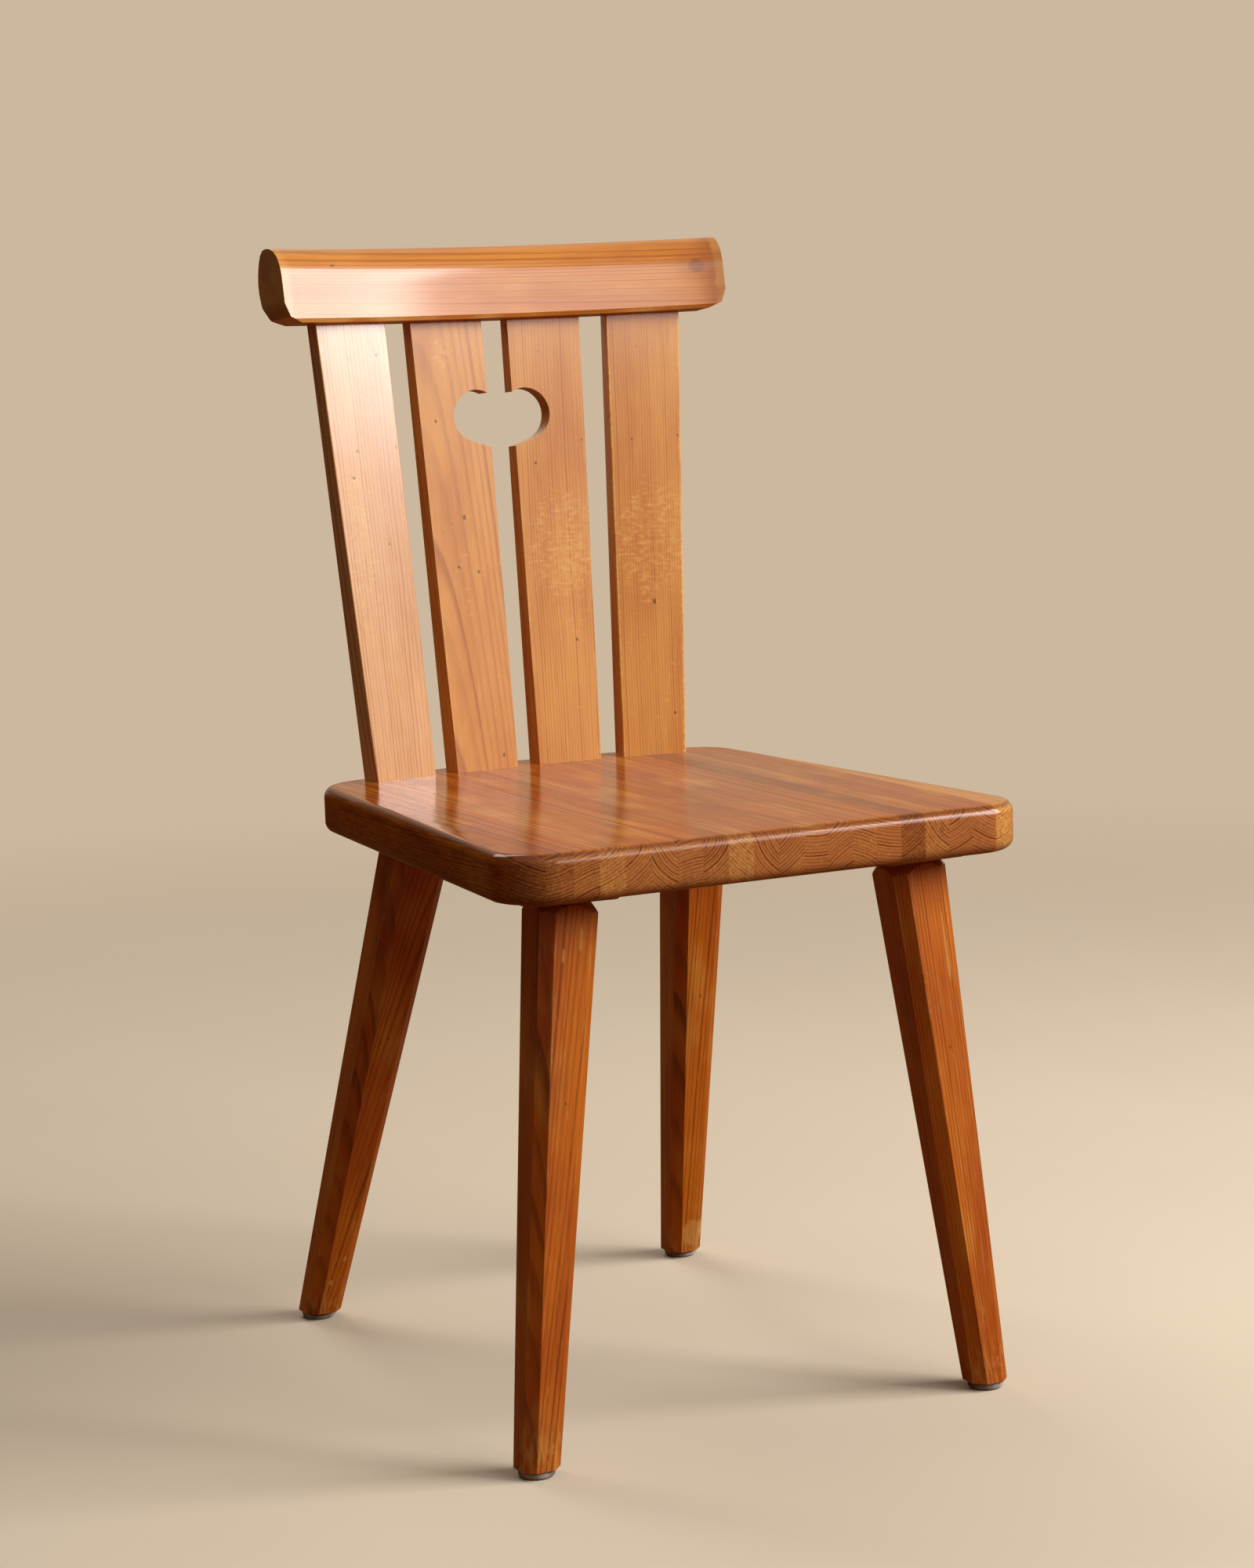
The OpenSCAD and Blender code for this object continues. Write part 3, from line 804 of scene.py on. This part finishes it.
# %% Easing and varnishing the slats
for i, (slat, wood) in enumerate(zip(slats, SLAT_WOOD)):
    fan, turn = slat_turns(i)
    stand = (back_frame() @ Matrix.Translation((0, -bow, 0)) @ Matrix.Rotation(turn, 4, "Z")
             @ Matrix.Translation((0, bow, 0)) @ Matrix.Rotation(fan, 4, "Y"))
    home = stand.inverted()
    eased(slat, 1.0)
    keep_grain(slat, lambda p: home @ p, **wood)
    mark_ends(slat, stand.to_3x3() @ Vector((0, 0, 1)))
    slat.data.materials.clear()
    slat.data.materials.append(pine(
        f"slat pine {i + 1}", *SLAT_COLOUR_AND_SHEEN[i], spacing=SLAT_SPACING[i], figure=0.7,
        shine=SLAT_SHINE[i], dull=SLAT_DULL[i],
        marks=slat_marks(SLAT_RUBBED[i], SLAT_SPECKS[i], SLAT_RUNS[i])))
    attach(slat, "root")
    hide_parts(f"slat_{i + 1}")
print("slat faces:", [len(slat.data.polygons) for slat in slats])

# %% [markdown]
# ## The crest rail
# The rail is one section carried round the bow that the slats share, flat in front and
# rounded over the top. A jig sweeps the section along an arc. The ends are then sawn,
# and their lower corners are rounded with a few more cuts of the saw. The section's
# points are shares of the rail's thickness and height, from its lower front corner.

# %% The rail jig
RAIL_SECTION = [
    (0.05, 0), (0, 0.05), (0.01, 0.12), (0.025, 0.24), (0.04, 0.36), (0.055, 0.50),
    (0.075, 0.64), (0.12, 0.76), (0.20, 0.86), (0.32, 0.94), (0.47, 0.985), (0.62, 1),
    (0.74, 0.985), (0.84, 0.93), (0.92, 0.82), (0.98, 0.68), (1, 0.56), (0.99, 0.44),
    (0.95, 0.32), (0.89, 0.20), (0.82, 0.10), (0.76, 0.04), (0.69, 0)]


def rail_jig():
    jig = Jig("rail jig")
    section = jig.shape("Section")
    section = jig.node("GeometryNodeMeshToCurve", None, [section])
    path = jig.node("GeometryNodeCurveArc", None,
                    {"Resolution": 97, "Radius": jig.size("Bow radius"),
                     "Start Angle": jig.size("Start"), "Sweep Angle": jig.size("Sweep")})
    swept = jig.node("GeometryNodeCurveToMesh", None,
                     {"Curve": path, "Profile Curve": section, "Fill Caps": True})
    swept = jig.moved(swept, jig.size("In", "Vector"))
    swept = jig.moved(swept, None, jig.size("Lean", "Vector"))
    swept = jig.moved(swept, jig.size("Place", "Vector"))
    jig.end(swept)
    return jig


def section_object():
    mesh = bpy.data.meshes.new("rail section")
    points = [((u * RAIL["thick"] - RAIL["ahead"]) * MM,
               -(BACK["free"] + v * RAIL["high"]) * MM, 0) for u, v in RAIL_SECTION]
    mesh.from_pydata(points, [(i, (i + 1) % len(points)) for i in range(len(points))], [])
    return linked("rail_section", mesh)


section = section_object()
print("rail section:", len(section.data.vertices), "points")


# %% Sweeping and varnishing the rail
# measured from the rail's middle: the knot, the low arris, the ends and the stretch of painted
# shade at the right end
RAIL_KNOT, RAIL_LOW, RAIL_ENDS, RAIL_END_SHADE = (171, 4), -28.5, 188, (165, 190)


def rail_marks(bench, place, colour, relief, gloss):
    _, height, along = bench.xyz(place)
    colour = knot(bench, along, height, RAIL_KNOT, 7, colour)
    dents = flecks(bench, place, (110, 110, 60), 0.12)
    colour = bench.mix(dents * 0.7, colour, GRIME_AND_SHADE)
    low = rub(bench, height - RAIL_LOW * MM, place, 2.0, 0.5)
    colour = bench.mix(low * 0.7, colour, RUBBED)
    # painted shade: the right end of the rail darkens where its front turns away
    dark = bench.step(along, RAIL_END_SHADE[0] * MM, RAIL_END_SHADE[1] * MM)
    colour = bench.mix(dark * 0.7, colour, LATEWOOD_AND_SHADE)
    ends = rub(bench, RAIL_ENDS * MM - along.math("ABSOLUTE"), place, 4.0, 0.6)
    colour = bench.mix(ends * 0.3, colour, RUBBED)
    return colour, relief - dents * 1.4, gloss - low * 0.4


rail_pine = pine("rail pine", light=paint(222, 140, 50), dark=paint(204, 118, 36),
                 spacing=1.6, bend=0.3, figure=0.7, coat_rough=0.16, end_dark=0.85, shine=0.15,
                 marks=rail_marks)
# the arc is longer than the rail by what the saw takes off each end
spare = 40
sweep = 2 * math.asin((RAIL["half"] + spare) / BACK["bow"])
rail = rail_jig().run(
    "crest_rail_top", Finish=rail_pine, Section=section,
    Bow_radius=bow, Start=math.pi / 2 - sweep / 2, Sweep=sweep, In=(0, -bow, 0),
    Lean=(-BACK["lean"], 0, 0), Place=(0, BACK["y"] * MM, SEAT["top"] * MM))
remove(section)
print("rail box", corners(rail))


# %% Sawing the rail's ends
# the cuts that round a lower corner: how far each is tipped, and how far in it goes
CORNER_CUTS = ((22.5, 8.5), (45, 7.0), (67.5, 8.5))


def saw_rail(piece):
    solid = bmesh.new()
    solid.from_mesh(piece.data)
    bmesh.ops.remove_doubles(solid, verts=solid.verts, dist=1e-6)
    lean = back_frame()
    for side in (-1, 1):
        face = Vector((side * math.cos(RAIL["end"]), -math.sin(RAIL["end"]), 0))
        at = Vector((side * RAIL["half"], -RAIL["half"] ** 2 / 2 / BACK["bow"],
                     BACK["free"] + RAIL["high"] / 2))
        foot = at - Vector((0, 0, RAIL["high"] / 2))
        saw(solid, lean @ (at * MM), lean.to_3x3() @ face)
        for tilt, inward in CORNER_CUTS:
            tip = math.radians(tilt)
            normal = face * math.cos(tip) - Vector((0, 0, math.sin(tip)))
            reach = normal.dot(foot) - inward * math.cos(math.pi / 4 - tip) * 0.7071
            saw(solid, lean @ (normal * reach * MM), lean.to_3x3() @ normal)
    bmesh.ops.recalc_face_normals(solid, faces=solid.faces)
    solid.to_mesh(piece.data)
    solid.free()


def along_bow(point, middle=0.38):
    """Unrolls the bow, so that the fibres follow it: depth, height and length."""
    x, y, z = back_frame().inverted() @ point
    return math.hypot(x, y + bow) - bow, z - middle, bow * math.atan2(x, y + bow)


saw_rail(rail)
eased(rail, 1.0, angle=35)
keep_grain(rail, along_bow, pith=(72, -78), tilt=(0.02, 0.01))
mark_ends(rail, Vector((1, 0, 0)))
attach(rail, "root")
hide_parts("crest_rail")
print("rail faces:", len(rail.data.polygons))

# %% [markdown]
# ## The legs
# Each leg is a square post, tapered to the foot, with its four corners planed off and a
# shoulder turned at the top. It is sawn from a block in its own upright frame, and the
# frame is then tipped so that the leg splays.

# %% Legs
def leg_frame(foot, top):
    axis = Vector(top) - Vector(foot)
    turn = Vector((0, 0, 1)).rotation_difference(axis)
    return Matrix.Translation(Vector(foot) * MM) @ turn.to_matrix().to_4x4(), axis.length


def leg(name, foot, top, finish, wood):
    stand, length = leg_frame(foot, top)
    solid = block((-0.05, -0.05, -0.03), (0.05, 0.05, (length + 25) * MM))
    taper = (LEG["top_w"] - LEG["foot_w"]) / 2 / length
    diagonal = math.sqrt(0.5)
    for quarter in range(4):
        a = quarter * math.pi / 2
        flat = Vector((math.cos(a), math.sin(a), -taper)).normalized()
        saw(solid, (flat.x * LEG["foot_w"] / 2 * MM, flat.y * LEG["foot_w"] / 2 * MM, 0), flat)
        b = a + math.pi / 4
        corner = Vector((math.cos(b), math.sin(b), -taper * math.sqrt(2))).normalized()
        reach = (LEG["foot_w"] - LEG["chamfer"]) * diagonal
        saw(solid, Vector((math.cos(b), math.sin(b), 0)) * reach * MM, corner)
    # a turned shoulder is a cone, and many small cuts come close to it
    for step in range(32):
        a = step * math.pi / 16
        out = Vector((math.cos(a), math.sin(a), 0))
        rim = out * LEG["shoulder_r"] + Vector((0, 0, length))
        saw(solid, rim * MM, (out + Vector((0, 0, 1 / LEG["shoulder_fall"]))).normalized())
    bmesh.ops.transform(solid, verts=solid.verts, matrix=stand)
    saw(solid, (0, 0, LEG["under"] * MM), (0, 0, 1))
    saw(solid, (0, 0, GLIDE["high"] * MM), (0, 0, -1))
    piece = piece_from(solid, name)
    eased(piece, 1.3, angle=20)
    home = stand.inverted()
    keep_grain(piece, lambda p: home @ p, **wood)
    mark_ends(piece, stand.to_3x3() @ Vector((0, 0, 1)))
    piece.data.materials.append(finish)
    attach(piece, "root")
    return piece


print("leg recipe ready")


# %% Leg woods and scrapes
LEG_WOOD = {
    "front left": dict(pith=(44, 60), tilt=(0, 0.01), shift=4.0, tone=-0.06),
    "front right": dict(pith=(-60, 30), tilt=(0.01, 0), shift=5.0),
    "rear left": dict(pith=(22, 26), tilt=(0, 0.03), shift=6.0),
    "rear right": dict(pith=(60, 70), tilt=(0, 0.01), shift=7.0),
}
# pale scrapes on each leg: place across the front and up the leg, half-axes in mm
LEG_SCRAPES = {
    "front left": [((6, 374), (1.6, 10)), ((-7, 364), (1.2, 7))],
    "front right": [((9, 340), (2, 30))],
    "rear left": [((-3, 40), (2, 3)), ((5, 62), (2, 3))],
    "rear right": [((6, 28), (12, 20))],
}
print("scrapes:", {key: len(scrapes) for key, scrapes in LEG_SCRAPES.items()})


# %% How the marks are laid on a leg
def leg_marks(scrapes):
    def marks(bench, place, colour, relief, gloss):
        x, y, z = bench.xyz(place)
        half = z * ((LEG["top_w"] - LEG["foot_w"]) / 2 / LEG["long"]) + LEG["foot_w"] / 2 * MM
        out, side = x.math("ABSOLUTE"), y.math("ABSOLUTE")
        near = half - LEG["chamfer"] * MM
        arris = []
        for a, b in ((out, side), (side, out)):
            da, db = a - half, b - near
            arris.append((da * da + db * db) ** 0.5)
        edge = rub(bench, arris[0].math("MINIMUM", arris[1]), place, 1.8, 0.4)
        low = bench.step(z, 10 * MM, 50 * MM, 1.0, 0.0)
        kicks = bench.noise(bench.stretch(place, (300, 300, 90)), detail=4)
        foot = low * bench.step(kicks, 0.45, 0.7)
        flakes = bench.noise(bench.stretch(place, (260, 260, 60)), detail=4, rough=0.7)
        worn = edge * 0.6 + foot * 0.8 + bench.step(flakes, 0.58, 0.74) * 0.35
        for at, size in scrapes:
            worn = worn + spot(bench, x, z, at, size, 1.8) * bench.step(y, -4 * MM, 0, 0.7, 0.0)
        worn = worn.math("MINIMUM", 1.0)
        colour = bench.mix(worn * 0.5, colour, RUBBED)
        dents = flecks(bench, place, (140, 140, 60), 0.10)
        colour = bench.mix(dents * 0.7, colour, GRIME_AND_SHADE)
        return colour, relief - dents * 1.2 - worn * 0.6, gloss - worn * 0.5
    return marks


print("leg marks ready")


# %% Making the four legs
leg_pine = {key: pine(f"{key} leg pine", light=paint(212, 110, 16), dark=paint(182, 80, 8),
                      line=paint(88, 28, 4), spacing=2.0, figure=0.8, bend=0.35, coat=0.8,
                      marks=leg_marks(LEG_SCRAPES[key]))
            for key in LEG_WOOD}
for end, (foot, top) in FEET.items():
    for side, sign in SIDES.items():
        key = f"{end} {side}"
        made = leg(f"{end}_{side}_leg", (sign * foot[0], foot[1], 0),
                   (sign * top[0], top[1], LEG["under"]), leg_pine[key], LEG_WOOD[key])
        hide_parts(f"leg_{end}_{side}")
print("legs made")

# %% [markdown]
# ## The cleats
# A thin cleat runs from front to back under each side of the seat and holds two legs.
# It is a block with its lower edges planed off and its four corners cut, turned so that
# it runs over both of its legs.

# %% Cleats
def cleat(side, sign):
    (fx, fy), (rx, ry) = FEET["front"][1], FEET["rear"][1]
    lean = math.atan2(fx - rx, ry - fy)
    front, back = fy - LEG["top_w"] / 2 - CLEAT["ahead"], ry + CLEAT["behind"]
    length = (back - front) / math.cos(lean)
    half, under, top = CLEAT["half"], LEG["under"], SEAT["top"] - SEAT["thick"]
    edge, corner = half - CLEAT["chamfer"], half - CLEAT["corner"]
    solid = block((-half * MM, (front - fy) * MM, under * MM),
                  (half * MM, (front - fy + length) * MM, top * MM))
    for x in (-1, 1):
        saw(solid, (x * edge * MM, 0, under * MM), Vector((x, 0, -1)).normalized())
        for y, end in ((-1, front - fy), (1, front - fy + length)):
            saw(solid, (x * corner * MM, end * MM, under * MM), Vector((x, y, 0)).normalized())
    place = (Matrix.Translation((sign * fx * MM, fy * MM, 0))
             @ Matrix.Rotation(sign * lean, 4, "Z"))
    bmesh.ops.transform(solid, verts=solid.verts, matrix=place)
    piece = piece_from(solid, f"cleat_{side}_board")
    eased(piece, 0.8)
    home = place.inverted()
    keep_grain(piece, lambda p: (home @ p).xzy, pith=(20 * sign, 440), shift=8 + sign)
    mark_ends(piece, place.to_3x3() @ Vector((0, 1, 0)))
    piece.data.materials.append(cleat_pine)
    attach(piece, "root")
    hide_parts(f"cleat_{side}")


cleat_pine = pine("cleat pine", light=paint(180, 92, 36), dark=paint(150, 70, 24))
for side, sign in SIDES.items():
    cleat(side, sign)
print("cleats made")

# %% [markdown]
# ## The glides
# A round plastic glide is nailed under each foot. The jig turns one profile as a lathe
# does, welds it where it meets the axis, and stands it on four points.

# %% Glide shape
def glide_points():
    spots = []
    for foot, top in FEET.values():
        for sign in SIDES.values():
            share = GLIDE["high"] / 2 / LEG["under"]
            spots.append((sign * (foot[0] + (top[0] - foot[0]) * share) * MM,
                          (foot[1] + (top[1] - foot[1]) * share) * MM, 0))
    mesh = bpy.data.meshes.new("feet")
    mesh.from_pydata(spots, [], [])
    return linked("feet", mesh)


def glide_profile():
    r, h = GLIDE["d"] / 2, GLIDE["high"]
    line = [(0, 0), (r - 2.5, 0), (r - 1.4, 0.3), (r - 0.7, 0.9), (r - 0.15, 1.7), (r, 2.6),
            (r, h), (1.2, h), (1.2, h + GLIDE["nail"] - 3), (0, h + GLIDE["nail"])]
    mesh = bpy.data.meshes.new("glide profile")
    mesh.from_pydata([(x * MM, -z * MM, 0) for x, z in line],
                     [(i, i + 1) for i in range(len(line) - 1)], [])
    return linked("glide_profile", mesh)


def glide_jig():
    jig = Jig("glide jig")
    profile = jig.shape("Profile")
    profile = jig.node("GeometryNodeMeshToCurve", None, [profile])
    feet = jig.shape("Feet")
    ring = jig.node("GeometryNodeCurvePrimitiveCircle", None, {"Resolution": 48, "Radius": 1e-5})
    turned = jig.node("GeometryNodeCurveToMesh", None, {"Curve": ring, "Profile Curve": profile})
    welded = jig.node("GeometryNodeMergeByDistance", None, {"Geometry": turned, "Distance": 3e-5})
    stood = jig.node("GeometryNodeInstanceOnPoints", None, {"Points": feet, "Instance": welded})
    jig.end(stood)
    return jig


print("glide recipe ready")


# %% Glide finish and making
def glide_finish():
    bench = Bench("glide plastic")
    place = bench.node("ShaderNodeTexCoord", out="Object")
    scuff = bench.noise(place, 220, 4)
    dirt = bench.noise(place, 60, 3)
    colour = bench.mix(bench.step(dirt, 0.35, 0.7), paint(196, 192, 184), paint(120, 104, 90))
    rough = bench.step(scuff, 0.3, 0.7, 0.45, 0.7)
    return bench.finish(Base_Color=colour, Roughness=rough,
                        Normal=bench.bump(scuff, 0.4, 0.3 * MM))


profile, feet = glide_profile(), glide_points()
glides = glide_jig().run("foot_glides", Finish=glide_finish(), Profile=profile, Feet=feet)
remove(profile, feet)
glides.data.shade_smooth()
glides.data.set_sharp_from_angle(angle=math.radians(40))
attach(glides, "root")
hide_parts(*[f"glide_{end}_{side}" for end in FEET for side in SIDES])
print("glide box", corners(glides))

# %% [markdown]
# ## Floor, lamps and surroundings
# A plain pale floor carries the shadow and turns up into a wall behind the chair. Away
# from the chair both fade into one tone, for the camera alone, so no edge or corner
# shows from any side. Light that bounces off the floor is browner, as off floorboards.

# %% Floor and backdrop
WALL_TURN = math.radians(-19)
ROOM_TONE = paint(204, 184, 158)
BLACK = (0, 0, 0)


def sweep_mesh(ahead=-6, back=4.4, bend=0.8, half=9, high=8):
    """A floor that turns up into a wall, far enough behind the chair to walk round it."""
    line = [(ahead, 0), (back - bend, 0)]
    line += [(back - bend + bend * math.sin(a), bend - bend * math.cos(a))
             for a in (math.pi / 2 * i / 16 for i in range(1, 17))]
    line += [(back, high)]
    mesh = bpy.data.meshes.new("floor")
    across = Vector((math.cos(WALL_TURN), math.sin(WALL_TURN), 0))
    along = Vector((-math.sin(WALL_TURN), math.cos(WALL_TURN), 0))
    points = [across * side * half + along * run + Vector((0, 0, up))
              for run, up in line for side in (-1, 1)]
    mesh.from_pydata(points, [], [(2 * i, 2 * i + 1, 2 * i + 3, 2 * i + 2)
                                  for i in range(len(line) - 1)])
    mesh.shade_smooth()
    return mesh


def floor_finish():
    bench = Bench("floor")
    place = bench.node("ShaderNodeTexCoord", out="Object")
    grit = bench.noise(place, 3, 3)
    pale = bench.mix(grit, paint(226, 208, 182), paint(231, 214, 189))
    seen = bench.node("ShaderNodeLightPath", out="Is Camera Ray")
    glossy = bench.node("ShaderNodeLightPath", out="Is Glossy Ray")
    side, depth, height = bench.xyz(place)
    far = bench.step((side * side + depth * depth) ** 0.5, 0.9, 3.0) * seen
    # varnish mirrors the wall behind the chair, and mostly its right-hand part
    mirrored = bench.step(height, 0.0, 1.0) * bench.step(side, -1.8, 0.4)
    colour = bench.mix(far, bench.mix(seen, paint(118, 74, 40), pale), BLACK)
    glow = bench.mix(far + glossy * mirrored, BLACK, ROOM_TONE)
    return bench.finish(Base_Color=colour, Roughness=0.7, Specular_IOR_Level=0.0,
                        Emission_Color=glow, Emission_Strength=1.0)


floor = linked("floor", sweep_mesh())
floor.data.materials.append(floor_finish())
floor.active_material.cycles.emission_sampling = "NONE"
print("floor:", len(floor.data.polygons), "faces")

# %% [markdown]
# ## Lamps and world
# A window-like lamp on the right gives the long gloss on the rail and the slats, and a
# wide soft lamp fills the front. The ceiling lightens the shadows, and a lamp high
# behind the chair lights its back. The camera sees none of them.

# %% Lamps
def lamp(name, azimuth, distance, height, wide, tall, radiance, aim=0.45):
    """A soft rectangular lamp, placed by its angle to the right of the chair's front."""
    a = math.radians(azimuth)
    data = bpy.data.lights.new(name, "AREA")
    data.shape = "RECTANGLE"
    data.size, data.size_y = wide, tall
    data.energy = radiance * math.pi * wide * tall
    light = bpy.data.objects.new(name, data)
    light.location = (distance * math.sin(a), -distance * math.cos(a), height)
    beam = Vector((0, 0, aim)) - light.location
    light.rotation_euler = beam.to_track_quat("-Z", "Y").to_euler()
    light.visible_camera = False
    scene.collection.objects.link(light)


lamp("window", azimuth=54, distance=3.0, height=2.0, wide=1.8, tall=1.8, radiance=11)
lamp("front softbox", azimuth=26, distance=3.4, height=2.1, wide=2.2, tall=1.4, radiance=4)
lamp("ceiling", azimuth=20, distance=0.6, height=2.9, wide=3.6, tall=3.6, radiance=0.3)
lamp("back light", azimuth=190, distance=1.9, height=2.5, wide=1.6, tall=0.9, radiance=5)


# %% World
class Room(Bench):
    """The world's nodes, built with the bench's own methods."""

    def __init__(self, name):
        scene.world = bpy.data.worlds.new(name)
        scene.world.use_nodes = True
        self.tree = scene.world.node_tree
        self.tree.nodes.clear()

    def finish(self, colour):
        """Joins the colour to the world's background."""
        shine = self.node("ShaderNodeBackground", None, {"Color": colour})
        output = self.tree.nodes.new("ShaderNodeOutputWorld")
        self.tree.links.new(shine.socket, output.inputs[0])


ROOM_FILL = (0.11, 0.085, 0.065)
ROOM_SHEEN = (0.06, 0.05, 0.045)
room = Room("room")
air = room.mix(room.node("ShaderNodeLightPath", out="Is Glossy Ray"), ROOM_FILL, ROOM_SHEEN)
air = room.mix(room.node("ShaderNodeLightPath", out="Is Camera Ray"), air, ROOM_TONE)
room.finish(air)
print("world:", len(room.tree.nodes), "nodes")
